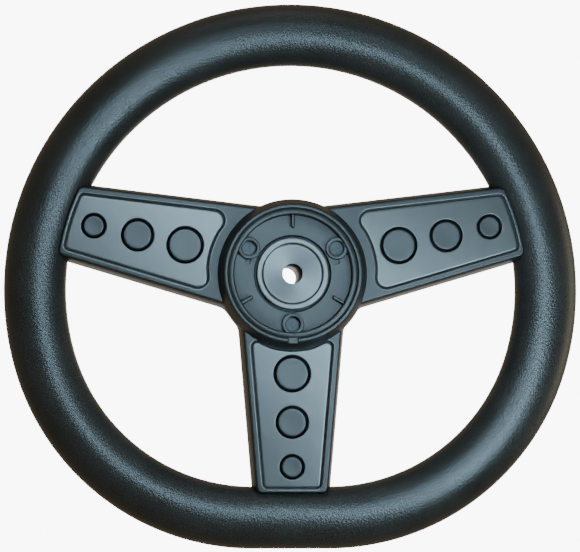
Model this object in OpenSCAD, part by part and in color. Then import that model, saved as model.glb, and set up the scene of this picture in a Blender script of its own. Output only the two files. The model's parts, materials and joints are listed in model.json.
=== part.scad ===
// Play steering wheel on a fixed post. The wheel turns about Y, its front faces -Y, up is +Z,
// and the origin is on the turning axis at the back of the post, where it meets the board.

/* [Rim] */
// Diameter of the rim's round section
rim_d = 33; // [31:0.5:35]
// Wall of the hollow rim
rim_wall = 3.2; // [2.8:0.1:3.6]
// Radius of the long upper arc, to the middle of the section
rim_top_r = 136; // [135:0.5:140]
// How much tighter the two lower corners are than the upper arc
corner_step = 21.1; // [19:0.1:23]
// Distance of the upper arc's centre below the turning axis
arc_drop = 8.2; // [7:0.2:10]

/* [Arms] */
// Tilt of the two side arms above the horizontal
arm_angle = 11.7; // [10:0.1:14]
// Distance of the side arms' centre lines from the turning axis
arm_rise = 3.5; // [2:0.1:4]
// Half the width that an arm would have at the turning axis
arm_half = 31.1; // [30:0.1:31.5]
// Loss of half-width for each millimetre along an arm
arm_taper = 0.0855; // [0.07:0.0005:0.09]
// How far the lower arm's pattern is moved towards the hub
lower_shift = 5.8; // [4:0.1:6]
// Height of the arms' front face above the middle of the rim
face_h = 13.6; // [13:0.1:14]
// Depth of the sunk panel on each arm
panel_depth = 1.6; // [1:0.1:2]
// Width of the ledge around the sunk panel
ledge_w = 5.4; // [4:0.1:6]

/* [Discs] */
// Radius of the sockets of the large, medium and small discs
disc_r = [9.8, 8.7, 6.65];
// Distance of the discs along an arm
disc_s = [58.6, 84.3, 107.9];
// Width of the open groove around each disc
disc_groove = 1.3; // [0.8:0.1:1.6]

/* [Hub] */
// Radius of the hub where it leaves the arms
hub_r = 39.7; // [39:0.1:41]
// Radius of the hub at its lip
lip_r = 36.9; // [36.5:0.1:37.5]
// Height of the lip's seat above the middle of the rim
lip_h = 23.4; // [22.8:0.1:24]
// Height of the cup's floor above the middle of the rim
cup_floor_h = 16.5; // [16:0.1:17]
// Circle on which the three cap sockets stand
boss_circle_r = 26.7; // [26.7:0.1:27]
// Outer radius of the cap sockets
boss_r = 5.9; // [5:0.1:5.9]
// Radius of the cap sockets' holes
boss_hole_r = 3.9; // [3.5:0.1:4]

/* [Post and bearing] */
// Distance of the middle of the rim in front of the board
stand_off = 52; // [50:1:60]
// Radius of the hole for the M10 bolt
bolt_r = 5.25; // [5.1:0.05:5.5]
// Radius of the spindle on which the wheel turns
spindle_r = 11; // [10.5:0.1:11.2]
// Radial running clearance between spindle and bushes
running_gap = 0.05; // [0.02:0.01:0.1]
// Radius of the spindle's front flange
flange_r = 19.2; // [18.6:0.1:19.2]
// Radius of the post's foot
foot_r = 32; // [30:0.5:34]
// Circle of the foot's three screw holes, as a diameter
foot_screw_pcd = 49; // [47:0.5:50]
// Radius of the foot's screw holes
foot_screw_r = 2.3; // [2:0.1:2.6]

/* [Hidden] */

$fn = 96;
ARMS = ["left", "right", "lower"];
plastic = "#25282b";
gloss = "#33383c";
steel = "#b9bcc0";
nylon = "#d8d4c6";

// Rim outline. The arcs meet along a line with the slope of a 7-24-25 triangle, so they are tangent
join_cos = 0.96;
join_sin = 0.28;
rim_r = rim_d / 2;
corner_r = rim_top_r - corner_step;
flat_half = join_cos * corner_step;
corner_y = -arc_drop - join_sin * corner_step;
rim_bottom_y = corner_y - corner_r;
sector = 200;

// The rim's joint: a tongue on the back half in a rebate of the front half
tongue_wall = rim_wall / 2;
tongue_h = 2;
joint_gap = 0.1;

// Arms
split_h = -1;
arm_back_h = -7;
cover_inset = 1.6;
hub_back_h = -12;
wall = 2.8;
skin_h = face_h - panel_depth - wall;
arm_end_gap = 10.5;
arm_end_r = rim_top_r - arm_end_gap;
lower_overlap = 3.7;
lower_end_y = rim_bottom_y + rim_r - lower_overlap;
panel_end_gap = 2.5;
panel_hub_r = 44.5;
arm_reach = 150;
web_fillet_r = 9;
web_overlap = 0.05;
notch_gap = 0.15;
tab_half = 13;
tab_from_s = 60;
tab_h = 5;
tab_past = 7;
tab_screw_t = 7;

// Screws, all self-tapping with pan heads
screw_r = 1.6;
screw_hole_r = 1.85;
pilot_r = 1.65;
head_r = 3.1;
head_h = 2.2;
head_hole_r = 3.5;
rim_boss_r = 5.2;
small_boss_r = 4;
rim_head_h = -9;
rim_screw_tip_h = 9;
rim_upper_screws = [36, 63, 90, 117, 144];
rim_corner_screws = [-62, -32];
cover_screw_s = [72, 97];
cover_head_h = -5.8;
cover_screw_tip_h = 6;
hub_head_h = 12;
hub_screw_tip_h = -8.5;
boss_angles = [30, 150, 270];
rib_angles = [90, 210, 330];

// Hub cup
cap_wall_r = 34.2;
ledge_r = 31;
ledge_h = 22.2;
boss_top_h = 21;
cup_rib_r = 24.4;
cup_rib_t = 2;
snap_slot_angles = [16.5, 163.5];
snap_slot_r = 23.2;
snap_slot = [2.4, 3.6, 3];
lip_notch = [5.2, 6, 6];
socket_depth = 1.2;
socket_wall = 1.8;
flange_gap = 1.3;
cup_wall = 3;
lip_round = 1.3;

// Spindle, bushes and washers, front to back
flange_top_h = 18.5;
flange_back_h = 14.3;
ring_in_r = 15.8;
dish_edge_h = 17.5;
dish_hole_h = 16.5;
washer_t = 1.5;
bush_t = 1.6;
float_gap = 0.2;
washer_in_r = spindle_r + 0.2;
bush_r = 14;
seat_r = bush_r + 0.03;
core_r = 17.5;
bush_len = 14;
bush_flange_r = 17;
web_front_h = flange_back_h - washer_t - float_gap - bush_t;
core_back_h = -20;
post_top_h = core_back_h - bush_t - float_gap - washer_t;

// Post
post_r = 19;
foot_t = 6;
socket_floor = 10;
rib_t = 3;
eps = 0.01;

function half_w(s) = arm_half - arm_taper * s;
function polar(r, a) = [r * cos(a), r * sin(a)];

// Draws in the wheel's own frame: x right, y up, z towards the front from the middle of the rim
module wheel_frame() {
    rotate([90, 0, 0]) translate([0, 0, stand_off]) children();
}

// A slab of a plan outline between two heights
module slab(low, high) {
    translate([0, 0, low]) linear_extrude(height = high - low) children();
}

module rod(r, low, high) {
    translate([0, 0, low]) cylinder(r = r, h = high - low);
}

// Sweeps a profile round the rim: x points outwards, y to the front
module rim_sweep() {
    join_x = join_cos * sector;
    join_y = -join_sin * sector;
    translate([0, -arc_drop, 0]) intersection() {
        rotate_extrude($fn = 180) translate([rim_top_r, 0]) children();
        slab(-rim_d, rim_d) polygon([[0, 0], [join_x, join_y], [join_x, sector], [-join_x, sector],
            [-join_x, join_y]]);
    }
    for (side = [0, 1]) mirror([side, 0, 0]) translate([flat_half, corner_y, 0]) intersection() {
        rotate_extrude($fn = 180) translate([corner_r, 0]) children();
        slab(-rim_d, rim_d) polygon([[0, 0], [0, -sector], [join_x, -sector], [join_x, join_y]]);
    }
    translate([0, rim_bottom_y, 0]) rotate([0, 0, -90]) rotate([90, 0, 0])
        linear_extrude(height = 2 * flat_half, center = true) children();
}

// A ring section between two heights
module ring_section(r_out, r_in, low, high) {
    intersection() {
        difference() {
            circle(r = r_out);
            circle(r = r_in);
        }
        translate([-r_out - 1, low]) square([2 * r_out + 2, high - low]);
    }
}

// Puts children on an arm: x runs outwards along the arm, y across it
module on_arm(arm) {
    if (arm == "right") rotate(arm_angle) translate([0, arm_rise]) children();
    if (arm == "left") mirror([1, 0, 0]) rotate(arm_angle) translate([0, arm_rise]) children();
    if (arm == "lower") rotate(-90) translate([-lower_shift, 0]) children();
}

// Everything nearer the hub than an arm's end
module within_end(arm, past) {
    if (arm == "lower")
        translate([-arm_reach, lower_end_y - past]) square([2 * arm_reach, arm_reach * 2]);
    else translate([0, -arc_drop]) circle(r = arm_end_r + past, $fn = 180);
}

// An arm's tapered strip in its own frame
module strip(inset) {
    polygon([[0, half_w(0) - inset], [arm_reach, half_w(arm_reach) - inset],
        [arm_reach, inset - half_w(arm_reach)], [0, inset - half_w(0)]]);
}

module arm_plan(arm, inset = 0, past = 0) {
    intersection() {
        on_arm(arm) strip(inset);
        within_end(arm, past);
    }
}

// Distance along an arm of the centre of the round that joins its edge to the hub
function fillet_s(off) =
    let (a = arm_half + web_fillet_r + off, k = arm_taper, d = hub_r + web_fillet_r)
    (k * a + sqrt(k * k * a * a - (1 + k * k) * (a * a - d * d))) / (1 + k * k);

// Inside corner between the hub and one edge of an arm; off is how far the axis lies from its middle
module corner_web(off, hub_x) {
    s = fillet_s(off) + hub_x;
    t = half_w(s) + web_fillet_r;
    difference() {
        polygon([[hub_x, -off], [s, 0], [s, t]]);
        translate([s, t]) circle(r = web_fillet_r + web_overlap);
    }
}

module arm_webs(arm) {
    rise = arm == "lower" ? 0 : arm_rise;
    start = arm == "lower" ? lower_shift : 0;
    on_arm(arm) {
        corner_web(rise, start);
        mirror([0, 1]) corner_web(-rise, start);
    }
}

// Outline of the arms and the hub together
module frame_plan() {
    circle(r = hub_r);
    for (arm = ARMS) {
        arm_plan(arm);
        arm_webs(arm);
    }
}

// Outline of the hollow inside the frame's arms
module hollow_plan() {
    for (arm = ARMS) difference() {
        arm_plan(arm, wall, -wall);
        circle(r = hub_r - wall / 2);
    }
}

module panel_plan(arm) {
    difference() {
        arm_plan(arm, ledge_w, -panel_end_gap);
        circle(r = arm == "lower" ? hub_r - wall / 2 : panel_hub_r);
    }
}

// Tab on an arm's end, which the two rim halves clamp between them
module tab_plan(arm) {
    intersection() {
        on_arm(arm) translate([tab_from_s, -tab_half]) square([arm_reach, 2 * tab_half]);
        within_end(arm, arm_end_gap + tab_past);
        difference() {
            translate([-2 * arm_reach, -2 * arm_reach]) square(4 * arm_reach);
            within_end(arm, -wall);
        }
    }
}

module at_hub_bosses() {
    for (a = boss_angles) translate(polar(boss_circle_r, a)) children();
}

module at_rim_screws() {
    for (a = rim_upper_screws) translate([0, -arc_drop]) translate(polar(rim_top_r, a)) children();
    for (side = [0, 1], a = rim_corner_screws) mirror([side, 0, 0])
        translate([flat_half, corner_y]) translate(polar(corner_r, a)) children();
}

// Where the arms' middle lines cross the middle of the rim, seen from the arc's centre
arm_meet_angle = asin((arc_drop + arm_rise / cos(arm_angle)) * cos(arm_angle) / rim_top_r) + arm_angle;
tab_screw_angle = asin(tab_screw_t / rim_top_r);

module at_tab_screws() {
    for (side = [0, 1], a = [-tab_screw_angle, tab_screw_angle]) mirror([side, 0, 0])
        translate([0, -arc_drop]) translate(polar(rim_top_r, arm_meet_angle + a)) children();
    for (side = [-1, 1]) translate([side * tab_screw_t, rim_bottom_y]) children();
}

module at_cover_screws() {
    for (arm = ARMS, s = cover_screw_s) on_arm(arm) translate([s, 0]) children();
}

// Pan-head screw pointing to the front: its head's seat is at seat_h, its tip at tip_h
module screw_forward(seat_h, tip_h) {
    difference() {
        union() {
            rod(screw_r, seat_h - eps, tip_h);
            rod(head_r, seat_h - head_h, seat_h);
        }
        for (turn = [0, 90]) rotate(turn)
            translate([-head_r * 0.6, -0.4, seat_h - head_h - 1]) cube([head_r * 1.2, 0.8, 2]);
    }
}

module rim_front() {
    color(plastic) wheel_frame() difference() {
        union() {
            rim_sweep() difference() {
                ring_section(rim_r, rim_r - rim_wall, 0, rim_r + 1);
                ring_section(rim_r - tongue_wall, rim_r - rim_wall - 1, -1, tongue_h);
            }
            at_rim_screws() rod(small_boss_r, 0, rim_r - rim_wall + 1);
            at_tab_screws() rod(small_boss_r, split_h + tab_h + joint_gap, rim_r - rim_wall + 1);
        }
        at_rim_screws() rod(pilot_r, -1, rim_screw_tip_h + 1);
        at_tab_screws() rod(pilot_r, -1, rim_screw_tip_h + 1);
        for (arm = ARMS) slab(-1, rim_r + 1) arm_plan(arm, -notch_gap, notch_gap);
    }
}

module rim_back() {
    color(plastic) wheel_frame() difference() {
        union() {
            rim_sweep() {
                ring_section(rim_r, rim_r - rim_wall, -rim_r - 1, 0);
                ring_section(rim_r - tongue_wall - joint_gap, rim_r - rim_wall, -1, tongue_h - joint_gap);
            }
            at_rim_screws() rod(rim_boss_r, 1 - rim_r + rim_wall / 2, -joint_gap);
            at_tab_screws() rod(rim_boss_r, 1 - rim_r + rim_wall / 2, split_h - joint_gap);
        }
        at_rim_screws() {
            rod(screw_hole_r, -rim_r, 1);
            rod(head_hole_r, -rim_r - 1, rim_head_h);
        }
        at_tab_screws() {
            rod(screw_hole_r, -rim_r, 1);
            rod(head_hole_r, -rim_r - 1, rim_head_h);
        }
        for (arm = ARMS) {
            slab(split_h - notch_gap, rim_r) arm_plan(arm, -notch_gap, notch_gap);
            slab(arm_back_h - notch_gap, rim_r) arm_plan(arm, cover_inset - notch_gap, notch_gap);
        }
    }
}

// Section of the hub cup: outer wall, lip, cap ledge and floor
module cup_section() {
    cup_in_r = flange_r + flange_gap;
    polygon([[cup_in_r, cup_floor_h - cup_wall], [cup_in_r, cup_floor_h], [ledge_r - 0.5, cup_floor_h],
        [ledge_r, ledge_h], [cap_wall_r, ledge_h], [cap_wall_r, lip_h], [cap_wall_r + 0.4, lip_h + 0.9],
        [cap_wall_r + 1, lip_h + lip_round], [lip_r - 1, lip_h + lip_round], [lip_r - 0.4, lip_h + 0.9],
        [lip_r, lip_h], [hub_r, face_h], [hub_r, split_h], [hub_r - wall, split_h],
        [hub_r - wall, cup_floor_h - cup_wall]]);
    // Sunk web that carries the bearing, behind the flange
    polygon([[seat_r, web_front_h - cup_wall], [seat_r, web_front_h], [cup_in_r, web_front_h],
        [cup_in_r, cup_floor_h - cup_wall], [cup_in_r + cup_wall, cup_floor_h - cup_wall + eps],
        [cup_in_r + cup_wall, web_front_h - cup_wall]]);
    polygon([[seat_r, core_back_h], [seat_r, web_front_h], [core_r, web_front_h], [core_r, core_back_h]]);
}

module spoke_frame() {
    color(gloss) wheel_frame() difference() {
        union() {
            difference() {
                slab(split_h, face_h) frame_plan();
                slab(split_h - 1, skin_h) hollow_plan();
                rod(hub_r - wall, split_h - 1, face_h + 1);
                for (arm = ARMS) slab(face_h - panel_depth, face_h + 1) panel_plan(arm);
            }
            rotate_extrude() cup_section();
            at_hub_bosses() rod(boss_r, split_h, boss_top_h);
            for (a = rib_angles) rotate(a) translate([cup_rib_r, -cup_rib_t / 2, cup_floor_h - 1])
                cube([ledge_r - cup_rib_r, cup_rib_t, boss_top_h - cup_floor_h + 1]);
            for (arm = ARMS) slab(split_h, split_h + tab_h) tab_plan(arm);
            at_cover_screws() rod(small_boss_r, split_h, skin_h + eps);
            for (arm = ARMS, i = [0 : 2]) on_arm(arm) translate([disc_s[i], 0])
                rod(disc_r[i] + socket_wall, skin_h - wall, skin_h + eps);
        }
        for (arm = ARMS, i = [0 : 2]) on_arm(arm) translate([disc_s[i], 0])
            rod(disc_r[i], skin_h - socket_depth, face_h);
        at_hub_bosses() {
            rod(boss_hole_r, hub_head_h, boss_top_h + 1);
            rod(screw_hole_r, split_h - 1, hub_head_h + 1);
        }
        at_cover_screws() rod(pilot_r, split_h - 1, cover_screw_tip_h + 0.5);
        at_tab_screws() rod(screw_hole_r, split_h - 1, split_h + tab_h + 1);
        // Snap slots of the cap in the floor, and the notch in the lip
        for (a = snap_slot_angles) rotate(a)
            translate([snap_slot_r, -snap_slot[1] / 2, cup_floor_h - snap_slot[2] / 2]) cube(snap_slot);
        translate([-lip_notch[0] / 2, -lip_r - 2, ledge_h + 0.8]) cube(lip_notch);
    }
}

module back_cover() {
    cover_r = hub_r - cover_inset;
    color(gloss) wheel_frame() difference() {
        union() {
            difference() {
                slab(arm_back_h, split_h - joint_gap) {
                    circle(r = cover_r);
                    for (arm = ARMS) arm_plan(arm, cover_inset);
                }
                slab(arm_back_h + wall, split_h) for (arm = ARMS) difference() {
                    arm_plan(arm, cover_inset + wall, -wall);
                    circle(r = cover_r - wall / 2);
                }
                rod(cover_r - wall, arm_back_h - 1, split_h + 1);
            }
            rotate_extrude() polygon([[core_r + 0.4, hub_back_h], [cover_r - 3, hub_back_h],
                [cover_r, arm_back_h], [cover_r, split_h - joint_gap],
                [cover_r - wall, split_h - joint_gap], [cover_r - wall, arm_back_h + 1],
                [cover_r - wall - 2, hub_back_h + wall],
                [core_r + 0.4, hub_back_h + wall]]);
            at_hub_bosses() rod(boss_r, hub_back_h + 1, split_h - joint_gap);
            at_cover_screws() rod(small_boss_r + 0.4, arm_back_h + 1, split_h - joint_gap);
        }
        at_hub_bosses() rod(pilot_r, hub_screw_tip_h - 0.5, split_h + 1);
        at_cover_screws() {
            rod(screw_hole_r, arm_back_h - 1, split_h + 1);
            rod(head_hole_r, arm_back_h - 1, cover_head_h);
        }
    }
}

// Flanged bush with its flange at the front of a barrel of the given length
module flanged_bush(length) {
    difference() {
        union() {
            rod(bush_r, -length, 0);
            rod(bush_flange_r, 0, bush_t);
        }
        rod(spindle_r + running_gap, -length - 1, bush_t + 1);
    }
}

module front_bush() {
    color(nylon) wheel_frame() translate([0, 0, web_front_h]) flanged_bush(bush_len);
}

module rear_bush() {
    color(nylon) wheel_frame() translate([0, 0, core_back_h]) mirror([0, 0, 1]) flanged_bush(bush_len);
}

module washer(back_h) {
    difference() {
        rod(bush_flange_r, back_h, back_h + washer_t);
        rod(washer_in_r, back_h - 1, back_h + washer_t + 1);
    }
}

module front_washer() {
    color(steel) wheel_frame() washer(flange_back_h - washer_t);
}

module rear_washer() {
    color(steel) wheel_frame() washer(post_top_h);
}

// Sleeve with a front flange: the wheel turns on it, and the bolt clamps it to the post
module spindle() {
    back_h = socket_floor - stand_off;
    color(gloss) wheel_frame() rotate_extrude() {
        polygon([[bolt_r, back_h], [spindle_r, back_h], [spindle_r, flange_back_h],
            [flange_r, flange_back_h], [flange_r, flange_top_h - 1], [flange_r - 1, flange_top_h],
            [ring_in_r + 0.8, flange_top_h], [ring_in_r, dish_edge_h], [bolt_r, dish_hole_h]]);
    }
}

module mount_base() {
    foot_h = foot_t - stand_off;
    back_h = -stand_off;
    color(plastic) wheel_frame() difference() {
        union() {
            rotate_extrude() polygon([[bolt_r, back_h], [foot_r, back_h], [foot_r, foot_h - 1.5],
                [foot_r - 1.5, foot_h], [post_r + 3, foot_h], [post_r, foot_h + 3], [post_r, post_top_h],
                [bolt_r, post_top_h]]);
            for (a = boss_angles) rotate(a) translate([post_r - 2, -rib_t / 2, foot_h - 1])
                cube([foot_r - post_r, rib_t, 7]);
        }
        rod(spindle_r + 0.03, socket_floor - stand_off, post_top_h + 1);
        for (a = rib_angles) translate(polar(foot_screw_pcd / 2, a))
            rod(foot_screw_r, back_h - 1, foot_h + 1);
    }
}

module rim_screws() {
    color(steel) wheel_frame() at_rim_screws() screw_forward(rim_head_h, rim_screw_tip_h);
}

module arm_screws() {
    color(steel) wheel_frame() at_tab_screws() screw_forward(rim_head_h, rim_screw_tip_h);
}

module cover_screws() {
    color(steel) wheel_frame() at_cover_screws() screw_forward(cover_head_h, cover_screw_tip_h);
}

// The hub screws go in from the front, at the bottom of the cap sockets
module hub_screws() {
    color(steel) wheel_frame() at_hub_bosses() mirror([0, 0, 1])
        screw_forward(-hub_head_h, -hub_screw_tip_h);
}

// Push-in disc: a base that fills the socket, and a narrower, slightly dished face
module disc(arm, size) {
    r = disc_r[size];
    base_h = skin_h - socket_depth;
    base_t = 2.2;
    top_h = face_h - panel_depth + 0.1;
    dish_r = 60;
    dish_depth = 0.4;
    color(plastic) wheel_frame() on_arm(arm) translate([disc_s[size], 0]) difference() {
        union() {
            rod(r - 0.05, base_h, base_h + base_t);
            rod(r - disc_groove, base_h, top_h);
        }
        translate([0, 0, top_h + dish_r - dish_depth]) sphere(r = dish_r, $fn = 180);
    }
}

module left_large_disc() { disc("left", 0); }
module left_medium_disc() { disc("left", 1); }
module left_small_disc() { disc("left", 2); }
module right_large_disc() { disc("right", 0); }
module right_medium_disc() { disc("right", 1); }
module right_small_disc() { disc("right", 2); }
module lower_large_disc() { disc("lower", 0); }
module lower_medium_disc() { disc("lower", 1); }
module lower_small_disc() { disc("lower", 2); }

rim_front();
rim_back();
spoke_frame();
back_cover();
front_bush();
rear_bush();
spindle();
mount_base();
front_washer();
rear_washer();
rim_screws();
arm_screws();
cover_screws();
hub_screws();
left_large_disc();
left_medium_disc();
left_small_disc();
right_large_disc();
right_medium_disc();
right_small_disc();
lower_large_disc();
lower_medium_disc();
lower_small_disc();
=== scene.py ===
# Looks of the play steering wheel: lights, camera, materials and rounded meshes around the CAD frame.
import json
import math

import bmesh
import bpy
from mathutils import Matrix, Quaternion, Vector
from mathutils.geometry import delaunay_2d_cdt


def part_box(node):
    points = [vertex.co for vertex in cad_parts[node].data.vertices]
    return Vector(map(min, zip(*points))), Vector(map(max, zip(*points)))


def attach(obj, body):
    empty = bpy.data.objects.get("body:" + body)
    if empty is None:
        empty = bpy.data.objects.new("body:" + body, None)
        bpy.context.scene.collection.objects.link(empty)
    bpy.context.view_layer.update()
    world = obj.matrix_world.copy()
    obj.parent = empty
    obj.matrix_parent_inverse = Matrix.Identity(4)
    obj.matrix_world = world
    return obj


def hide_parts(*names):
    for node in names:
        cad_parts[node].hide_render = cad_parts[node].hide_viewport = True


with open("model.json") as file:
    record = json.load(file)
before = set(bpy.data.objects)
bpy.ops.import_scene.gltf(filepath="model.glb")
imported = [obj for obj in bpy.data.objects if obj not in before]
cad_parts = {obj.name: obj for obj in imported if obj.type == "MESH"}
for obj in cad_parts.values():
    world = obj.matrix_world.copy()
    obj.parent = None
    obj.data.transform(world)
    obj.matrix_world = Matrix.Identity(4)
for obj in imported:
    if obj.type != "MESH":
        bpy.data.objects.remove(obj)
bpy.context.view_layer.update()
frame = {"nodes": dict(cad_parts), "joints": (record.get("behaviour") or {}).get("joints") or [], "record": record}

# Meshes are drawn in millimetres in the wheel's own plan: x right, y up, h towards the front from the
# middle of the rim. to_world turns them into the frame's metres.
MM = 0.001
JOINT = frame["joints"][0]
MID_Y = JOINT["pos_m"][1]
RIM_LOW, RIM_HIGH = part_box("rim_front")
RIM_CENTRE_Z = (RIM_LOW.z + RIM_HIGH.z) / 2

# Rim: a round section swept along a long upper arc, two tighter lower corners and a short flat
RIM_R = (MID_Y - RIM_LOW.y) / MM
RIM_TOP_R = RIM_HIGH.x / MM - RIM_R
ARC_DROP = RIM_TOP_R + RIM_R - RIM_HIGH.z / MM
JOIN_COS = 0.96
JOIN_SIN = 0.28
JOIN_ANGLE = math.atan2(JOIN_SIN, JOIN_COS)
RIM_BOTTOM_Y = RIM_LOW.z / MM + RIM_R
# The corner arcs touch the flat, so their step inwards follows from the rim's height
CORNER_STEP = (RIM_BOTTOM_Y + ARC_DROP + RIM_TOP_R) / (1 - JOIN_SIN)
CORNER_R = RIM_TOP_R - CORNER_STEP
FLAT_HALF = JOIN_COS * CORNER_STEP
CORNER_Y = RIM_BOTTOM_Y + CORNER_R
RIM_WALL = 3.2
TONGUE_WALL = 1.6
TONGUE_H = 2.0

# Arms: direction of each, side step of its middle line, and how far its pattern is moved to the hub
ARMS = {
    "right": (math.radians(11.7), 3.5, 0.0),
    "left": (math.radians(180 - 11.7), -3.5, 0.0),
    "lower": (math.radians(-90), 0.0, 5.8),
}
# The same arms anticlockwise from the right one, as their outline runs
ARM_ORDER = ["right", "left", "lower"]
ARM_HALF = 31.1
ARM_TAPER = 0.0855
ARM_END_R = RIM_TOP_R - 10.5
LOWER_END_Y = RIM_BOTTOM_Y + RIM_R - 3.7
FACE_H = 13.6
SPLIT_H = -1.0
WEB_R = 9.0
END_CORNER_R = 4.5
# Share of the side walls' draft that the arms' ends have
END_DRAFT = 0.35
SIDE_DRAFT = 1.85
EDGE_R = 1.3

# Sunk panels and the discs in them
PANEL_INSET = 5.4
PANEL_END_GAP = 2.5
PANEL_END_CORNER_R = 3.2
PANEL_H = 12.0
SOCKET_H = 8.0
SOCKET_GAP = 0.05
DISC_GROOVE = 1.3
DISC_SIZES = ["large", "medium", "small"]

# Hub cup
HUB_R = 39.7
HUB_OPEN_R = 30.0
LIP_R = 36.9
LIP_TOP_H = (MID_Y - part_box("spoke_frame")[0].y) / MM
LIP_IN_R = 31.0
CUP_FLOOR_H = 16.5
CUP_IN_R = 20.5
BOSS_CIRCLE_R = 26.7
BOSS_R = 5.9
BOSS_HOLE_R = 3.9
BOSS_TOP_H = 21.0
BOSS_FLOOR_H = 12.0
BOSS_ANGLES = [30, 150, 270]
RIB_ANGLES = [90, 210, 330]
RIB_IN_R = 24.4
RIB_HALF = 1.0
SLOT_ANGLES = [16.5, 163.5]
SLOT_IN_R = 23.2
SLOT_OUT_R = 25.6
SLOT_HALF = 1.8
NOTCH_HALF = 2.6
NOTCH_H = 23.0
CORE_R = 17.5
SEAT_R = 14.03
CORE_BACK_H = -20.0
WEB_FRONT_H = 11.0
WEB_T = 3.0
HUB_WALL = 2.8
LIP_GROOVE_R = 34.3

# Hub end of a sunk panel: its arc's radius, its corners' radius, and how far the arc keeps from them
SIDE_PANEL_HUB = (44.5, 6.0, 13.0)
LOWER_PANEL_HUB = (HUB_R + 0.3, 3.4, 9.5)

# Back cover
COVER_INSET = 1.6
COVER_FRONT_H = SPLIT_H - 0.1
COVER_BACK_H = -7.0
COVER_HUB_H = -12.0
COVER_SCREW_S = [72, 97]
COVER_HEAD_H = -5.8
HEAD_HOLE_R = 3.5
COVER_T = 2.8
COVER_EDGE_R = 1.2

# How far the smooth faces would fall away at a metre from the hub, in metres
LEAN = 0.13


# ---------------------------------------------------------------- camera, lights, stage

def add_camera():
    distance = 2.2
    azimuth = math.radians(-3.0)
    elevation = math.radians(-2.0)
    # The view's middle lies a little left of the wheel's
    target = Vector((-0.0005, MID_Y, RIM_CENTRE_Z))
    back = Vector((math.sin(azimuth) * math.cos(elevation), -math.cos(azimuth) * math.cos(elevation),
                   math.sin(elevation)))
    data = bpy.data.cameras.new("camera")
    data.sensor_width = 36
    view_width = 0.3087
    data.lens = data.sensor_width * distance / view_width
    cam = bpy.data.objects.new("camera", data)
    bpy.context.scene.collection.objects.link(cam)
    cam.location = target + back * distance
    cam.rotation_euler = (target - cam.location).to_track_quat("-Z", "Y").to_euler()
    bpy.context.scene.camera = cam


def add_area(name, place, aim, width, height, power, colour, roll=0.0):
    data = bpy.data.lights.new(name, "AREA")
    data.shape = "RECTANGLE"
    data.size = width
    data.size_y = height
    data.energy = power
    data.color = colour
    lamp = bpy.data.objects.new(name, data)
    bpy.context.scene.collection.objects.link(lamp)
    lamp.location = place
    # Lamps are reflected but never seen themselves
    lamp.visible_camera = False
    turn = (Vector(aim) - Vector(place)).to_track_quat("-Z", "Y")
    lamp.rotation_euler = (turn @ Quaternion((0, 0, 1), roll)).to_euler()


def add_lights():
    """Strip and softboxes in front for ridges and flats, weaker ones at the side, behind and above."""
    centre = (0, MID_Y, 0)
    cool = (0.66, 0.87, 1.0)
    strip_place = (0.07, -0.5, -0.03)
    strip_aim = (0.07, 0, -0.03)
    add_area("front_strip", strip_place, strip_aim, 0.6, 0.07, 4.6, cool, math.radians(-42))
    add_area("near_right_softbox", (0.15, -0.36, -0.10), (0.12, 0, -0.08), 0.12, 0.12, 0.9, cool)
    add_area("high_softbox", (0.1, -1.5, 0.9), centre, 0.8, 0.5, 8, cool)
    add_area("low_right_softbox", (0.7, -1.4, -0.6), centre, 0.5, 0.5, 12, cool)
    add_area("right_softbox", (1.9, 0.5, -0.1), centre, 1.0, 1.4, 11, (1.0, 0.90, 0.66))
    add_area("rear_softbox", (0.3, 2.5, -0.2), centre, 1.6, 1.2, 8, (0.9, 0.96, 1.0))
    add_area("top_softbox", (0, -0.5, 2.6), centre, 1.5, 1.5, 8, (1, 1, 1))
    add_world()


def add_world():
    """White to look at, dim and warm as surroundings that the plastic mirrors."""
    world = bpy.data.worlds.new("studio")
    bpy.context.scene.world = world
    world.use_nodes = True
    nodes = world.node_tree.nodes
    links = world.node_tree.links
    warm = nodes["Background"]
    warm.inputs["Color"].default_value = (1.0, 0.78, 0.52, 1)
    warm.inputs["Strength"].default_value = 0.42
    white = nodes.new("ShaderNodeBackground")
    white.inputs["Color"].default_value = (1, 1, 1, 1)
    white.inputs["Strength"].default_value = 9.0
    mix = nodes.new("ShaderNodeMixShader")
    path = nodes.new("ShaderNodeLightPath")
    links.new(path.outputs["Is Camera Ray"], mix.inputs["Fac"])
    links.new(warm.outputs["Background"], mix.inputs[1])
    links.new(white.outputs["Background"], mix.inputs[2])
    links.new(mix.outputs["Shader"], nodes["World Output"].inputs["Surface"])


def add_floor():
    """Pale round floor below the wheel, clear of the main view."""
    radius = 5.0
    count = 96
    floor_z = -0.4
    verts = [(*polar(radius, 2 * math.pi * i / count), floor_z) for i in range(count)]
    mesh = bpy.data.meshes.new("floor")
    mesh.from_pydata(verts, [], [tuple(range(count))])
    floor = bpy.data.objects.new("floor", mesh)
    bpy.context.scene.collection.objects.link(floor)
    mat, nodes, links, shader = new_material("pale_floor", 0.9)
    coord = nodes.new("ShaderNodeTexCoord").outputs["Object"]
    tone = noise(nodes, links, coord, 3)
    pale = ramp(nodes, links, tone, [(0.3, (0.86, 0.86, 0.86)), (0.7, (0.90, 0.90, 0.90))])
    links.new(pale, shader.inputs["Emission Color"])
    shader.inputs["Base Color"].default_value = (0.4, 0.4, 0.4, 1)
    shader.inputs["Emission Strength"].default_value = 2.2
    mesh.materials.append(mat)
    # The floor is seen but throws no light back onto the black plastic
    floor.visible_glossy = False
    floor.visible_diffuse = False


# ---------------------------------------------------------------- materials

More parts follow.
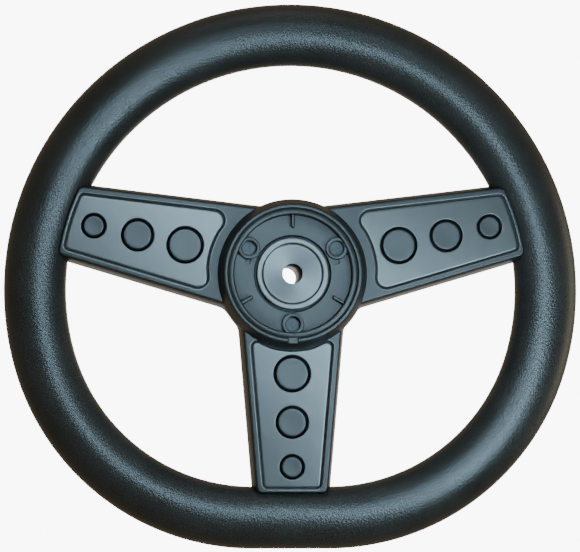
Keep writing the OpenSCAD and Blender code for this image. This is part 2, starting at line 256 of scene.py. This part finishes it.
def new_material(name, roughness, specular=0.5):
    mat = bpy.data.materials.new(name)
    mat.use_nodes = True
    nodes = mat.node_tree.nodes
    shader = nodes["Principled BSDF"]
    shader.inputs["Roughness"].default_value = roughness
    shader.inputs["Specular IOR Level"].default_value = specular
    shader.inputs["Specular Tint"].default_value = (0.82, 0.94, 1.0, 1)
    return mat, nodes, mat.node_tree.links, shader


def noise(nodes, links, coord, scale, detail=3.0, rough=0.5):
    tex = nodes.new("ShaderNodeTexNoise")
    tex.inputs["Scale"].default_value = scale
    tex.inputs["Detail"].default_value = detail
    tex.inputs["Roughness"].default_value = rough
    links.new(coord, tex.inputs["Vector"])
    return tex.outputs["Fac"]


def ramp(nodes, links, value, stops):
    node = nodes.new("ShaderNodeValToRGB")
    while len(node.color_ramp.elements) < len(stops):
        node.color_ramp.elements.new(0.5)
    for element, (place, colour) in zip(node.color_ramp.elements, stops):
        element.position = place
        element.color = (*colour, 1)
    links.new(value, node.inputs["Fac"])
    return node.outputs["Color"]


def grey_range(nodes, links, value, low, high):
    node = nodes.new("ShaderNodeMapRange")
    node.inputs["To Min"].default_value = low
    node.inputs["To Max"].default_value = high
    links.new(value, node.inputs["Value"])
    return node.outputs["Result"]


def bump(nodes, links, height, strength, distance, below=None):
    node = nodes.new("ShaderNodeBump")
    node.inputs["Strength"].default_value = strength
    node.inputs["Distance"].default_value = distance
    links.new(height, node.inputs["Height"])
    if below is not None:
        links.new(below, node.inputs["Normal"])
    return node.outputs["Normal"]


def falling_away(nodes, links, coord):
    """Normal that leans very slightly outwards from the hub, as on mouldings that have shrunk."""
    # The drop grows with the square of the distance from the wheel's axis
    flat = nodes.new("ShaderNodeVectorMath")
    flat.operation = "MULTIPLY"
    flat.inputs[1].default_value = (1, 0, 1)
    links.new(coord, flat.inputs[0])
    square = nodes.new("ShaderNodeVectorMath")
    square.operation = "DOT_PRODUCT"
    links.new(flat.outputs["Vector"], square.inputs[0])
    links.new(flat.outputs["Vector"], square.inputs[1])
    drop = grey_range(nodes, links, square.outputs["Value"], 0.0, -1.0)
    return bump(nodes, links, drop, 1.0, LEAN)


def grained_plastic():
    """Black plastic with a leathery mould grain, as on the rim, worn smoother in places."""
    mat, nodes, links, shader = new_material("grained_plastic", 0.35, 0.27)
    coord = nodes.new("ShaderNodeTexCoord").outputs["Object"]
    pebble = nodes.new("ShaderNodeTexVoronoi")
    pebble.feature = "SMOOTH_F1"
    pebble.inputs["Scale"].default_value = 1050
    pebble.inputs["Smoothness"].default_value = 0.5
    links.new(coord, pebble.inputs["Vector"])
    fine = noise(nodes, links, coord, 2000, 2.0, 0.6)
    wear = noise(nodes, links, coord, 26, 4.0, 0.6)
    links.new(ramp(nodes, links, wear, [(0.3, (0.006, 0.007, 0.007)), (0.7, (0.012, 0.013, 0.013))]),
              shader.inputs["Base Color"])
    links.new(grey_range(nodes, links, wear, 0.28, 0.42), shader.inputs["Roughness"])
    skin = bump(nodes, links, pebble.outputs["Distance"], 0.30, 0.0004)
    links.new(bump(nodes, links, fine, 0.35, 0.0002, skin), shader.inputs["Normal"])
    return mat


def smooth_plastic(name, rough_low, rough_high, tone, specular):
    """Half-gloss black plastic, slightly uneven from the mould and finely scuffed."""
    mat, nodes, links, shader = new_material(name, rough_low, specular)
    coord = nodes.new("ShaderNodeTexCoord").outputs["Object"]
    cloud = noise(nodes, links, coord, 30, 3.0)
    flow = noise(nodes, links, coord, 90, 2.0)
    scuff = noise(nodes, links, coord, 600, 5.0, 0.7)
    low = (tone * 0.8, tone * 0.95, tone)
    high = (tone * 1.3, tone * 1.5, tone * 1.6)
    links.new(ramp(nodes, links, cloud, [(0.3, low), (0.7, high)]), shader.inputs["Base Color"])
    links.new(grey_range(nodes, links, scuff, rough_low, rough_high), shader.inputs["Roughness"])
    soft = bump(nodes, links, flow, 0.25, 0.0004, falling_away(nodes, links, coord))
    links.new(bump(nodes, links, scuff, 0.06, 0.0001, soft), shader.inputs["Normal"])
    return mat


def nylon():
    """Off-white nylon of the bushes, slightly mottled."""
    mat, nodes, links, shader = new_material("nylon", 0.4)
    coord = nodes.new("ShaderNodeTexCoord").outputs["Object"]
    mottle = noise(nodes, links, coord, 120, 4.0)
    links.new(ramp(nodes, links, mottle, [(0.3, (0.62, 0.60, 0.52)), (0.7, (0.74, 0.72, 0.65))]),
              shader.inputs["Base Color"])
    links.new(grey_range(nodes, links, mottle, 0.35, 0.5), shader.inputs["Roughness"])
    links.new(bump(nodes, links, mottle, 0.1, 0.0002), shader.inputs["Normal"])
    return mat


def plated_steel(name, low, high):
    """Plated steel of the screws and washers."""
    mat, nodes, links, shader = new_material(name, 0.3)
    shader.inputs["Metallic"].default_value = 1.0
    coord = nodes.new("ShaderNodeTexCoord").outputs["Object"]
    spangle = noise(nodes, links, coord, 500, 4.0)
    links.new(ramp(nodes, links, spangle, [(0.35, low), (0.65, high)]), shader.inputs["Base Color"])
    links.new(grey_range(nodes, links, spangle, 0.22, 0.42), shader.inputs["Roughness"])
    links.new(bump(nodes, links, spangle, 0.1, 0.0001), shader.inputs["Normal"])
    return mat


MATERIALS = {
    "grained_plastic": grained_plastic(),
    "smooth_plastic": smooth_plastic("smooth_plastic", 0.24, 0.36, 0.016, 0.5),
    "satin_plastic": smooth_plastic("satin_plastic", 0.34, 0.48, 0.007, 0.27),
    "disc_plastic": smooth_plastic("disc_plastic", 0.30, 0.44, 0.009, 0.3),
    "base_plastic": smooth_plastic("base_plastic", 0.4, 0.55, 0.013, 0.5),
    "bearing_nylon": nylon(),
    "screw_steel": plated_steel("screw_steel", (0.45, 0.46, 0.47), (0.62, 0.63, 0.64)),
    "black_steel": plated_steel("black_steel", (0.008, 0.010, 0.012), (0.018, 0.021, 0.024)),
}


# ---------------------------------------------------------------- plan geometry

def to_world(x, y, h):
    return (x * MM, MID_Y - h * MM, y * MM)


def solve(function, low, high):
    """Where a rising function crosses zero."""
    for _ in range(50):
        middle = (low + high) / 2
        if function(middle) < 0:
            low = middle
        else:
            high = middle
    return (low + high) / 2


def polar(radius, angle):
    return (radius * math.cos(angle), radius * math.sin(angle))


def arc_between(centre, start, end, step=0.09):
    """Points of the shorter arc about centre from start to end, both included."""
    a = math.atan2(start[1] - centre[1], start[0] - centre[0])
    b = math.atan2(end[1] - centre[1], end[0] - centre[0])
    turn = (b - a + math.pi) % (2 * math.pi) - math.pi
    radius = math.dist(centre, start)
    count = max(2, round(abs(turn) / step))
    points = []
    for i in range(count + 1):
        x, y = polar(radius, a + turn * i / count)
        points.append((centre[0] + x, centre[1] + y))
    return points


def rounded(corners, steps=8):
    """Open or closed run of (x, y, radius) corners with each corner that has a radius rounded."""
    points = []
    count = len(corners)
    for i, (x, y, radius) in enumerate(corners):
        if radius == 0:
            points.append((x, y))
            continue
        before = Vector(corners[i - 1][:2]) - Vector((x, y))
        after = Vector(corners[(i + 1) % count][:2]) - Vector((x, y))
        before.normalize()
        after.normalize()
        half = before.angle(after) / 2
        reach = radius / math.tan(half)
        start = Vector((x, y)) + before * reach
        end = Vector((x, y)) + after * reach
        centre = Vector((x, y)) + (before + after).normalized() * (radius / math.sin(half))
        points += arc_between(centre, start, end, math.pi / 2 / steps)
    return points


class Outline:
    """Closed anticlockwise plan outline that can be drawn again further out or further in."""

    def __init__(self, points, soft=None):
        self.points = [Vector(p) for p in points]
        self.shifts = []
        count = len(self.points)
        for i, point in enumerate(self.points):
            back = (point - self.points[i - 1]).normalized()
            ahead = (self.points[(i + 1) % count] - point).normalized()
            n1 = Vector((back.y, -back.x))
            n2 = Vector((ahead.y, -ahead.x))
            self.shifts.append((n1 + n2) / (1 + n1.dot(n2)))
        # soft maps a point's index to a direction along which its shift is only END_DRAFT as large
        for i, along in (soft or {}).items():
            shift = self.shifts[i]
            self.shifts[i] = shift - along * (shift.dot(along) * (1 - END_DRAFT))

    def at(self, out):
        return [point + shift * out for point, shift in zip(self.points, self.shifts)]


def circle(x, y, radius, count=64):
    points = []
    for i in range(count):
        px, py = polar(radius, 2 * math.pi * i / count)
        points.append((x + px, y + py))
    return Outline(points)


def round_edge(radius, out, h, steps=6):
    """Profile of a convex edge: from a wall at out up onto a face at h, as (out, h) pairs."""
    pairs = []
    for i in range(steps + 1):
        a = math.pi / 2 * i / steps
        pairs.append((out - radius + radius * math.cos(a), h - radius + radius * math.sin(a)))
    return pairs


# ---------------------------------------------------------------- mesh building

def inside(point, loop):
    x, y = point
    hit = False
    for i, one in enumerate(loop):
        two = loop[i - 1]
        if (one[1] > y) != (two[1] > y):
            if x < (two[0] - one[0]) * (y - one[1]) / (two[1] - one[1]) + one[0]:
                hit = not hit
    return hit


class Shell:
    """Closed mesh made of loops of points, strips between loops and flat fills inside loops.

    slot is the record's material slot, finishes are the materials that finish_now picks for new faces.
    """

    def __init__(self, slot, *finishes):
        self.points = []
        self.faces = []
        self.slot = slot
        self.finishes = finishes or (slot,)
        self.finish_of_face = []
        self.finish_now = 0

    def add_face(self, corners):
        self.faces.append(corners)
        self.finish_of_face.append(self.finish_now)

    def loop(self, plan, h):
        first = len(self.points)
        heights = h if isinstance(h, list) else [h] * len(plan)
        self.points += [(p[0], p[1], z) for p, z in zip(plan, heights)]
        return list(range(first, len(self.points)))

    def strip(self, one, two):
        count = len(one)
        for i in range(count):
            j = (i + 1) % count
            self.add_face((one[i], one[j], two[j], two[i]))

    def wall(self, outline, profile):
        """Loops of an outline along (out, h) pairs, joined by strips; gives the first and last loop."""
        loops = [self.loop(outline.at(out), h) for out, h in profile]
        for one, two in zip(loops, loops[1:]):
            self.strip(one, two)
        return loops[0], loops[-1]

    def fill(self, outer, holes=()):
        """Flat face inside the outer loop and outside the hole loops."""
        rings = [outer, *holes]
        order = [i for ring in rings for i in ring]
        flat = [Vector(self.points[i][:2]) for i in order]
        edges = []
        first = 0
        for ring in rings:
            count = len(ring)
            edges += [(first + k, first + (k + 1) % count) for k in range(count)]
            first += count
        made, _, triangles, origin, _, _ = delaunay_2d_cdt(flat, edges, [], 0, 1e-5)
        outer_plan = [self.points[i][:2] for i in outer]
        hole_plans = [[self.points[i][:2] for i in ring] for ring in holes]
        for triangle in triangles:
            middle = sum((made[k] for k in triangle), Vector((0, 0))) / 3
            if inside(middle, outer_plan) and not any(inside(middle, plan) for plan in hole_plans):
                self.add_face(tuple(order[origin[k][0]] for k in triangle))

    def lathe(self, section, angles, closed=True, lift=None):
        """Turns a section of (radius, h) pairs about the wheel's axis; lift can change a height."""
        loops = []
        for radius, h in section:
            heights = [lift(radius, h, a) if lift else h for a in angles]
            loops.append(self.loop([polar(radius, a) for a in angles], heights))
        for one, two in zip(loops, loops[1:]):
            self.strip(one, two)
        if closed:
            self.strip(loops[-1], loops[0])
        return loops

    def place(self, name, body, *nodes):
        """Turns the shell into a piece that rides a body and stands for CAD nodes."""
        mesh = bpy.data.meshes.new(name)
        mesh.from_pydata([to_world(*point) for point in self.points], [], self.faces)
        mesh.polygons.foreach_set("material_index", self.finish_of_face)
        work = bmesh.new()
        work.from_mesh(mesh)
        bmesh.ops.remove_doubles(work, verts=work.verts, dist=1e-6)
        bmesh.ops.dissolve_degenerate(work, edges=work.edges, dist=1e-6)
        bmesh.ops.recalc_face_normals(work, faces=work.faces)
        loose = [vert for vert in work.verts if not vert.link_faces]
        bmesh.ops.delete(work, geom=loose, context="VERTS")
        work.to_mesh(mesh)
        work.free()
        mesh.polygons.foreach_set("use_smooth", [True] * len(mesh.polygons))
        mesh.set_sharp_from_angle(angle=math.radians(35))
        piece = bpy.data.objects.new(name, mesh)
        bpy.context.scene.collection.objects.link(piece)
        for finish in self.finishes:
            mesh.materials.append(MATERIALS[finish])
        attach(piece, body)
        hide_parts(*nodes)


def even_angles(count, extra=()):
    """Angles right round, with extra ones where a detail needs them."""
    angles = [2 * math.pi * i / count for i in range(count)]
    near = 0.3 * 2 * math.pi / count
    angles = [a for a in angles if all(abs(a - b) > near for b in extra)]
    return sorted(angles + list(extra))


# ---------------------------------------------------------------- rim

def rim_path(step=2.4):
    """Middle of the rim's section: (point, outward normal) right round, anticlockwise."""
    path = []

    def arc(cx, cy, radius, start, end):
        count = max(2, round(radius * abs(end - start) / step))
        for i in range(count):
            direction = Vector(polar(1, start + (end - start) * i / count))
            path.append((Vector((cx, cy)) + direction * radius, direction))

    arc(0, -ARC_DROP, RIM_TOP_R, -JOIN_ANGLE, math.pi + JOIN_ANGLE)
    arc(-FLAT_HALF, CORNER_Y, CORNER_R, math.pi + JOIN_ANGLE, 1.5 * math.pi)
    count = round(2 * FLAT_HALF / step)
    for i in range(count):
        x = -FLAT_HALF + 2 * FLAT_HALF * i / count
        path.append((Vector((x, RIM_BOTTOM_Y)), Vector((0, -1))))
    arc(FLAT_HALF, CORNER_Y, CORNER_R, -0.5 * math.pi, -JOIN_ANGLE)
    return path


def make_rim_front():
    """Front half of the hollow rim, with its rebate and a fine rounding at the parting line."""
    shell = Shell("grained_plastic")
    part_round = 0.45
    steps = 44
    inner_r = RIM_R - RIM_WALL
    section = [(RIM_R - TONGUE_WALL, 0.0), (RIM_R - part_round, 0.0)]
    edge = part_round / RIM_R
    section += [(RIM_R * math.cos(a), RIM_R * math.sin(a))
                for a in (edge + (math.pi - 2 * edge) * i / steps for i in range(steps + 1))]
    section += [(part_round - RIM_R, 0.0), (TONGUE_WALL - RIM_R, 0.0), (TONGUE_WALL - RIM_R, TONGUE_H)]
    inner_edge = math.asin(TONGUE_H / inner_r)
    section += [(-inner_r * math.cos(a), inner_r * math.sin(a))
                for a in (inner_edge + (math.pi - 2 * inner_edge) * i / steps for i in range(steps + 1))]
    section.append((RIM_R - TONGUE_WALL, TONGUE_H))
    path = rim_path()
    loops = [shell.loop([point + normal * out for point, normal in path], h) for out, h in section]
    for one, two in zip(loops, loops[1:] + loops[:1]):
        shell.strip(one, two)
    shell.place("rim_front_skin", "wheel", "rim_front")


# ---------------------------------------------------------------- arms

def arm_axes(arm):
    angle = ARMS[arm][0]
    return Vector(polar(1, angle)), Vector((-math.sin(angle), math.cos(angle)))


def on_arm(arm, s, t):
    """Plan point at s along an arm and t to its left."""
    along, across = arm_axes(arm)
    _, step, shift = ARMS[arm]
    return along * (s - shift) + across * (t + step)


def half_w(s):
    return ARM_HALF - ARM_TAPER * s


def beyond_end(arm, point, gap=0.0):
    """How far a plan point lies past an arm's end, less a gap."""
    if arm == "lower":
        return LOWER_END_Y + gap - point.y
    return (point - Vector((0, -ARC_DROP))).length - (ARM_END_R - gap)


def end_run(arm, first, last, gap=0.0, count=5):
    """Points between two corners of an arm's end, on the end's own curve."""
    if arm == "lower":
        return [tuple(first.lerp(last, i / (count + 1))) for i in range(1, count + 1)]
    step = (last - first).length / ARM_END_R / (count + 1)
    return arc_between((0, -ARC_DROP), first, last, step)[1:-1]


def web_round(arm, side, inset):
    """Round between an arm's edge and the hub: its centre, its point on the edge and on the hub."""
    lean = math.hypot(1, ARM_TAPER)
    middle = lambda s: on_arm(arm, s, side * (half_w(s) + WEB_R * lean))
    centre = middle(solve(lambda s: middle(s).length - (HUB_R + WEB_R), 0, 80))
    along, across = arm_axes(arm)
    outward = (across * side + along * ARM_TAPER).normalized()
    on_edge = centre - outward * (WEB_R + inset)
    on_hub = centre.normalized() * (HUB_R - inset)
    return centre, on_edge, on_hub


def frame_outline(inset=0.0):
    """Outline of the three arms and the hub together."""
    points = []
    soft = {}
    lean = math.hypot(1, ARM_TAPER)
    for number, arm in enumerate(ARM_ORDER):
        along, _ = arm_axes(arm)
        centre, on_edge, on_hub = web_round(arm, -1, inset)
        points += arc_between(centre, on_hub, on_edge)
        ends = []
        for side in (-1, 1):
            edge = lambda s, side=side: on_arm(arm, s, side * (half_w(s) - inset * lean))
            s = solve(lambda s: beyond_end(arm, edge(s), inset * END_DRAFT), 60, 150)
            ends.append(edge(s))
        run = [(*on_edge, 0), (*ends[0], END_CORNER_R)]
        run += [(*p, 0) for p in end_run(arm, ends[0], ends[1], inset * END_DRAFT)]
        run.append((*ends[1], END_CORNER_R))
        centre, on_edge, on_hub = web_round(arm, 1, inset)
        run.append((*on_edge, 0))
        end_points = rounded(run)[1:-1]
        for i in range(len(end_points)):
            soft[len(points) + i] = along
        points += end_points
        points += arc_between(centre, on_edge, on_hub)
        next_arm = ARM_ORDER[(number + 1) % len(ARM_ORDER)]
        next_on_hub = web_round(next_arm, -1, inset)[2]
        points += arc_between((0, 0), on_hub, next_on_hub, 0.05)[1:-1]
    return Outline(points, soft)


def panel_outline(arm):
    """Outline of an arm's sunk panel; the lower one comes right up to the hub's wall."""
    hub_r, hub_corner_r, clear = LOWER_PANEL_HUB if arm == "lower" else SIDE_PANEL_HUB
    outer = []
    inner = []
    for side in (-1, 1):
        edge = lambda s, side=side: on_arm(arm, s, side * (half_w(s) - PANEL_INSET))
        outer.append(edge(solve(lambda s: beyond_end(arm, edge(s), PANEL_END_GAP), 60, 150)))
        inner.append(edge(solve(lambda s: edge(s).length - hub_r, 20, 80)))
    run = [(*inner[0], hub_corner_r), (*outer[0], PANEL_END_CORNER_R)]
    run += [(*p, 0) for p in end_run(arm, outer[0], outer[1], PANEL_END_GAP)]
    run += [(*outer[1], PANEL_END_CORNER_R), (*inner[1], hub_corner_r)]
    # The hub's arc keeps clear of the rounding at its corners
    hub_arc = arc_between((0, 0), inner[1], inner[0], 0.06)
    run += [(*p, 0) for p in hub_arc if min(math.dist(p, inner[0]), math.dist(p, inner[1])) > clear]
    return Outline(rounded(run))


def disc_place(arm, size):
    """Centre and socket radius of a disc, from its CAD node."""
    low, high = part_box(f"{arm}_{size}_disc")
    return (low.x + high.x) / 2 / MM, (low.z + high.z) / 2 / MM, (high.x - low.x) / 2 / MM


def make_arms():
    """Front moulding's three arms: drafted walls, rounded edges, sunk panels and disc sockets."""
    shell = Shell("smooth_plastic", "satin_plastic", "smooth_plastic")
    side = [(-0.8, SPLIT_H), (-0.35, SPLIT_H), (-0.1, SPLIT_H + 0.1), (0, SPLIT_H + 0.35),
            (-SIDE_DRAFT, FACE_H - EDGE_R - 0.05)]
    side += round_edge(EDGE_R, -SIDE_DRAFT - 0.02, FACE_H)
    side.append((-SIDE_DRAFT - EDGE_R - 0.4, FACE_H))
    bottom, top = shell.wall(frame_outline(), side)
    bore_low, bore_high = shell.wall(circle(0, 0, HUB_OPEN_R, 96), [(0, SPLIT_H), (0, FACE_H)])
    shell.fill(bottom, [bore_low])
    panels = []
    panel_side = [(0.75, FACE_H), (0.5, FACE_H), (0.36, FACE_H - 0.03), (0.18, FACE_H - 0.14),
                  (0.05, FACE_H - 0.32), (0.0, FACE_H - 0.55), (-0.1, PANEL_H - 0.55),
                  (-0.3, PANEL_H - 0.8), (-0.5, PANEL_H - 0.72), (-0.85, PANEL_H - 0.26),
                  (-1.1, PANEL_H - 0.08), (-1.4, PANEL_H), (-1.9, PANEL_H)]
    socket_side = [(0.6, PANEL_H), (0.4, PANEL_H), (0.2, PANEL_H - 0.05), (0.06, PANEL_H - 0.18),
                   (0.0, PANEL_H - 0.4), (0.0, SOCKET_H)]
    for arm in ARM_ORDER:
        shell.finish_now = 1
        rim, floor = shell.wall(panel_outline(arm), panel_side)
        panels.append(rim)
        sockets = []
        for size in DISC_SIZES:
            x, y, radius = disc_place(arm, size)
            mouth, end = shell.wall(circle(x, y, radius + SOCKET_GAP), socket_side)
            sockets.append(mouth)
            shell.fill(end)
        shell.fill(floor, sockets)
        shell.finish_now = 0
    shell.fill(top, [*panels, bore_high])
    shell.place("arms", "wheel", "spoke_frame")


# ---------------------------------------------------------------- discs

def make_disc(arm, size):
    """Push-in disc with a rounded edge and an almost flat, slightly dished face."""
    x, y, radius = disc_place(arm, size)
    face_r = radius + SOCKET_GAP - DISC_GROOVE
    edge_r = 0.5
    top_h = PANEL_H + 0.05
    base_h = SOCKET_H + 0.02
    shell = Shell("disc_plastic")
    # The flange slopes down to the socket's wall, so that the ring around the face stays dark
    profile = [(-1, base_h), (0, base_h), (0, base_h + 0.4), (-0.1, base_h + 0.6),
               (face_r - radius, base_h + 2.6), (face_r - radius, top_h - edge_r)]
    profile += round_edge(edge_r, face_r - radius, top_h, 5)
    dish_depth = 0.1
    for share in (0.85, 0.7, 0.5, 0.3, 0.12):
        r = (face_r - edge_r) * share
        profile.append((r - radius, top_h - dish_depth * (1 - share * share)))
    bottom, top = shell.wall(circle(x, y, radius), profile)
    shell.fill(bottom)
    shell.fill(top)
    node = f"{arm}_{size}_disc"
    shell.place(node + "_face", "wheel", node)


# ---------------------------------------------------------------- hub and spindle

def make_hub_cup():
    """Hub of the front moulding: drafted wall, two-ridge lip, cup floor with sockets, ribs and slots."""
    shell = Shell("smooth_plastic", "satin_plastic")
    # The lip's notch is at the bottom, and each of its sides needs two angles close together
    notch = math.asin(NOTCH_HALF / LIP_R)
    bottom = 1.5 * math.pi
    notch_edge = 0.006
    extra = [bottom + sign * (notch + gap) for sign in (-1, 1) for gap in (-notch_edge, notch_edge)]
    angles = even_angles(180, extra)

    def lift(radius, h, angle):
        in_notch = abs(angle - bottom) < notch and radius > LIP_GROOVE_R
        return min(h, NOTCH_H) if in_notch else h

    lip = LIP_TOP_H
    draft_top = lip - 1.6
    wall_in_r = HUB_R - HUB_WALL
    web_back_h = WEB_FRONT_H - WEB_T
    floor_back_h = CUP_FLOOR_H - WEB_T
    lip_round = 1.3
    section = [(CUP_IN_R, CUP_FLOOR_H), (CUP_IN_R + 0.01, WEB_FRONT_H + 0.6),
               (CUP_IN_R - 0.6, WEB_FRONT_H), (SEAT_R, WEB_FRONT_H), (SEAT_R, CORE_BACK_H),
               (CORE_R - 0.4, CORE_BACK_H), (CORE_R, CORE_BACK_H + 0.4), (CORE_R, web_back_h),
               (CUP_IN_R + WEB_T, web_back_h), (CUP_IN_R + WEB_T, floor_back_h),
               (wall_in_r, floor_back_h), (wall_in_r, SPLIT_H), (HUB_R - 0.4, SPLIT_H),
               (HUB_R, SPLIT_H + 0.4), (HUB_R, FACE_H - 0.6), (HUB_R - 0.25, FACE_H + 0.5),
               (LIP_R + 0.15, draft_top - 0.4), (LIP_R - 0.02, draft_top)]
    section += round_edge(lip_round, LIP_R, lip)[1:]
    section += [(LIP_GROOVE_R + 0.55, lip - 0.05), (LIP_GROOVE_R + 0.3, lip - 0.3),
                (LIP_GROOVE_R + 0.15, lip - 1.5), (LIP_GROOVE_R - 0.15, lip - 1.75),
                (LIP_GROOVE_R - 0.5, lip - 1.6), (LIP_GROOVE_R - 0.85, lip - 1.35),
                (LIP_IN_R + 1.0, lip - 1.3), (LIP_IN_R + 0.55, lip - 1.42), (LIP_IN_R + 0.2, lip - 1.75),
                (LIP_IN_R + 0.05, lip - 2.2), (LIP_IN_R, CUP_FLOOR_H + 0.25),
                (LIP_IN_R - 0.08, CUP_FLOOR_H + 0.05), (LIP_IN_R - 0.2, CUP_FLOOR_H)]
    loops = shell.lathe(section, angles, closed=False, lift=lift)

    holes = []
    for angle in BOSS_ANGLES:
        place = polar(BOSS_CIRCLE_R, math.radians(angle))
        hole = [(0, CUP_FLOOR_H), (0, BOSS_FLOOR_H - 1.4)]
        mouth, end = shell.wall(circle(*place, BOSS_HOLE_R + 0.03), hole)
        holes.append(mouth)
        shell.fill(end)
        add_boss(shell, place)
    for angle in SLOT_ANGLES:
        outline = radial_bar(angle, SLOT_IN_R, SLOT_OUT_R, SLOT_HALF, 0.5)
        slot = [(0.15, CUP_FLOOR_H), (0, CUP_FLOOR_H - 0.15), (0, CUP_FLOOR_H - 1.5)]
        mouth, end = shell.wall(outline, slot)
        holes.append(mouth)
        shell.fill(end)
    shell.fill(loops[-1], [loops[0], *holes])
    for angle in RIB_ANGLES:
        add_cup_rib(shell, angle)
    shell.place("hub_cup", "wheel", "spoke_frame")


def radial_bar(angle, inner_r, outer_r, half, corner_r):
    """Outline of a bar that runs outwards at an angle in degrees, with rounded corners."""
    along = Vector(polar(1, math.radians(angle)))
    across = Vector((-along.y, along.x))
    plan = [(inner_r, -half), (outer_r, -half), (outer_r, half), (inner_r, half)]
    corners = [along * r + across * t for r, t in plan]
    return Outline(rounded([(*corner, corner_r) for corner in corners], 4))


def add_boss(shell, place):
    """Round socket for one of the cap's pegs, with the hub screw at its bottom."""
    profile = [(BOSS_R, BOSS_FLOOR_H - 1), (BOSS_R, CUP_FLOOR_H)]
    profile += round_edge(0.45, BOSS_R - 0.1, BOSS_TOP_H, 4)
    profile += [(BOSS_HOLE_R + 0.4, BOSS_TOP_H), (BOSS_HOLE_R + 0.12, BOSS_TOP_H - 0.12),
                (BOSS_HOLE_R, BOSS_TOP_H - 0.4), (BOSS_HOLE_R - 0.1, BOSS_FLOOR_H)]
    unit = 1.0
    bottom, top = shell.wall(circle(*place, unit), [(radius - unit, h) for radius, h in profile])
    shell.fill(bottom)
    shell.fill(top)


def add_cup_rib(shell, angle):
    """Rib on the cup's floor, running in from the wall."""
    outline = radial_bar(angle, RIB_IN_R, LIP_IN_R + 1, RIB_HALF, 0.8)
    profile = [(0.15, CUP_FLOOR_H - 0.5), (0.15, CUP_FLOOR_H)]
    profile += round_edge(0.6, -0.1, BOSS_TOP_H - 0.2, 5)
    bottom, top = shell.wall(outline, profile)
    shell.fill(bottom)
    shell.fill(top)


def make_spindle():
    """Sleeve with its raised ring and shallow dish, bored for the bolt."""
    low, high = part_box("spindle")
    flange_r = high.x / MM
    top_h = (MID_Y - low.y) / MM
    back_h = (MID_Y - high.y) / MM
    flange_back_h = 14.3
    sleeve_r = 11.0
    bolt_r = 5.25
    ring_in_r = 15.8
    section = [(bolt_r, back_h + 0.3), (bolt_r + 0.3, back_h), (sleeve_r - 0.5, back_h),
               (sleeve_r, back_h + 0.5), (sleeve_r, flange_back_h), (flange_r - 0.4, flange_back_h),
               (flange_r, flange_back_h + 0.4)]
    section += round_edge(0.7, flange_r, top_h)
    section += [(ring_in_r + 0.7, top_h), (ring_in_r + 0.45, top_h - 0.06),
                (ring_in_r + 0.2, top_h - 0.3), (ring_in_r, top_h - 0.8), (ring_in_r - 0.3, top_h - 1.0)]
    dish_steps = 8
    dish_out_r = ring_in_r - 0.7
    dish_in_r = bolt_r + 0.1
    dish_high = top_h - 1.02
    dish_low = top_h - 2.0
    for i in range(dish_steps + 1):
        share = i / dish_steps
        section.append((dish_out_r + (dish_in_r - dish_out_r) * share,
                        dish_high + (dish_low - dish_high) * share))
    section.append((bolt_r, dish_low - 0.15))
    shell = Shell("smooth_plastic")
    shell.lathe(section, even_angles(144))
    shell.place("spindle_sleeve", "post", "spindle")


# ---------------------------------------------------------------- back cover

def make_back_cover():
    """Moulding that closes the arms and the hub at the back, with sunk screw seats."""
    shell = Shell("smooth_plastic", "satin_plastic")
    edge = [(-0.6, COVER_FRONT_H), (0, COVER_FRONT_H), (-0.3, COVER_BACK_H + COVER_EDGE_R)]
    edge += [(out, 2 * COVER_BACK_H - h) for out, h in round_edge(COVER_EDGE_R, -0.3, COVER_BACK_H)]
    edge.append((-1.9, COVER_BACK_H))
    front, back = shell.wall(frame_outline(COVER_INSET), edge)
    # The arms run 5 mm into the hub part, which covers their inner ends
    outer_r = HUB_R - COVER_INSET
    bore = circle(0, 0, outer_r - 5, 96)
    bore_back, bore_front = shell.wall(bore, [(0, COVER_BACK_H), (0, COVER_FRONT_H)])
    shell.fill(front, [bore_front])
    seats = []
    seat_side = [(0.45, COVER_BACK_H), (0.12, COVER_BACK_H + 0.1), (0, COVER_BACK_H + 0.35),
                 (0, COVER_HEAD_H)]
    for arm in ARM_ORDER:
        for s in COVER_SCREW_S:
            x, y = on_arm(arm, s, 0)
            mouth, end = shell.wall(circle(x, y, HEAD_HOLE_R, 40), seat_side)
            seats.append(mouth)
            shell.fill(end)
    shell.fill(back, [bore_back, *seats])
    shell.place("back_cover_arms", "wheel", "back_cover")

    hub = Shell("smooth_plastic", "satin_plastic")
    inner_r = CORE_R + 0.4
    section = [(inner_r, COVER_HUB_H + 0.3), (inner_r + 0.3, COVER_HUB_H)]
    round_steps = 5
    for i in range(round_steps + 1):
        a = math.pi / 3 * i / round_steps
        section.append((outer_r - 4.0 + COVER_EDGE_R * math.sin(a),
                        COVER_HUB_H + COVER_EDGE_R - COVER_EDGE_R * math.cos(a)))
    wall_in_r = outer_r - COVER_T
    section += [(outer_r - 0.5, COVER_BACK_H - 0.6), (outer_r, COVER_BACK_H + 0.3),
                (outer_r, COVER_FRONT_H), (wall_in_r, COVER_FRONT_H), (wall_in_r, COVER_BACK_H + 1),
                (wall_in_r - 2, COVER_HUB_H + COVER_T), (inner_r, COVER_HUB_H + COVER_T)]
    hub.lathe(section, even_angles(144))
    hub.place("back_cover_hub", "wheel", "back_cover")


def make_pieces():
    make_rim_front()
    make_arms()
    make_hub_cup()
    make_spindle()
    make_back_cover()
    for arm in ARM_ORDER:
        for size in DISC_SIZES:
            make_disc(arm, size)


def paint_cad_nodes():
    slots = {row["node"]: row["material_slot"] for row in frame["record"]["subparts"]}
    for name, obj in frame["nodes"].items():
        for material_slot in obj.material_slots:
            material_slot.material = MATERIALS["black_steel" if name == "hub_screws" else slots[name]]


add_camera()
add_lights()
add_floor()
paint_cad_nodes()
make_pieces()
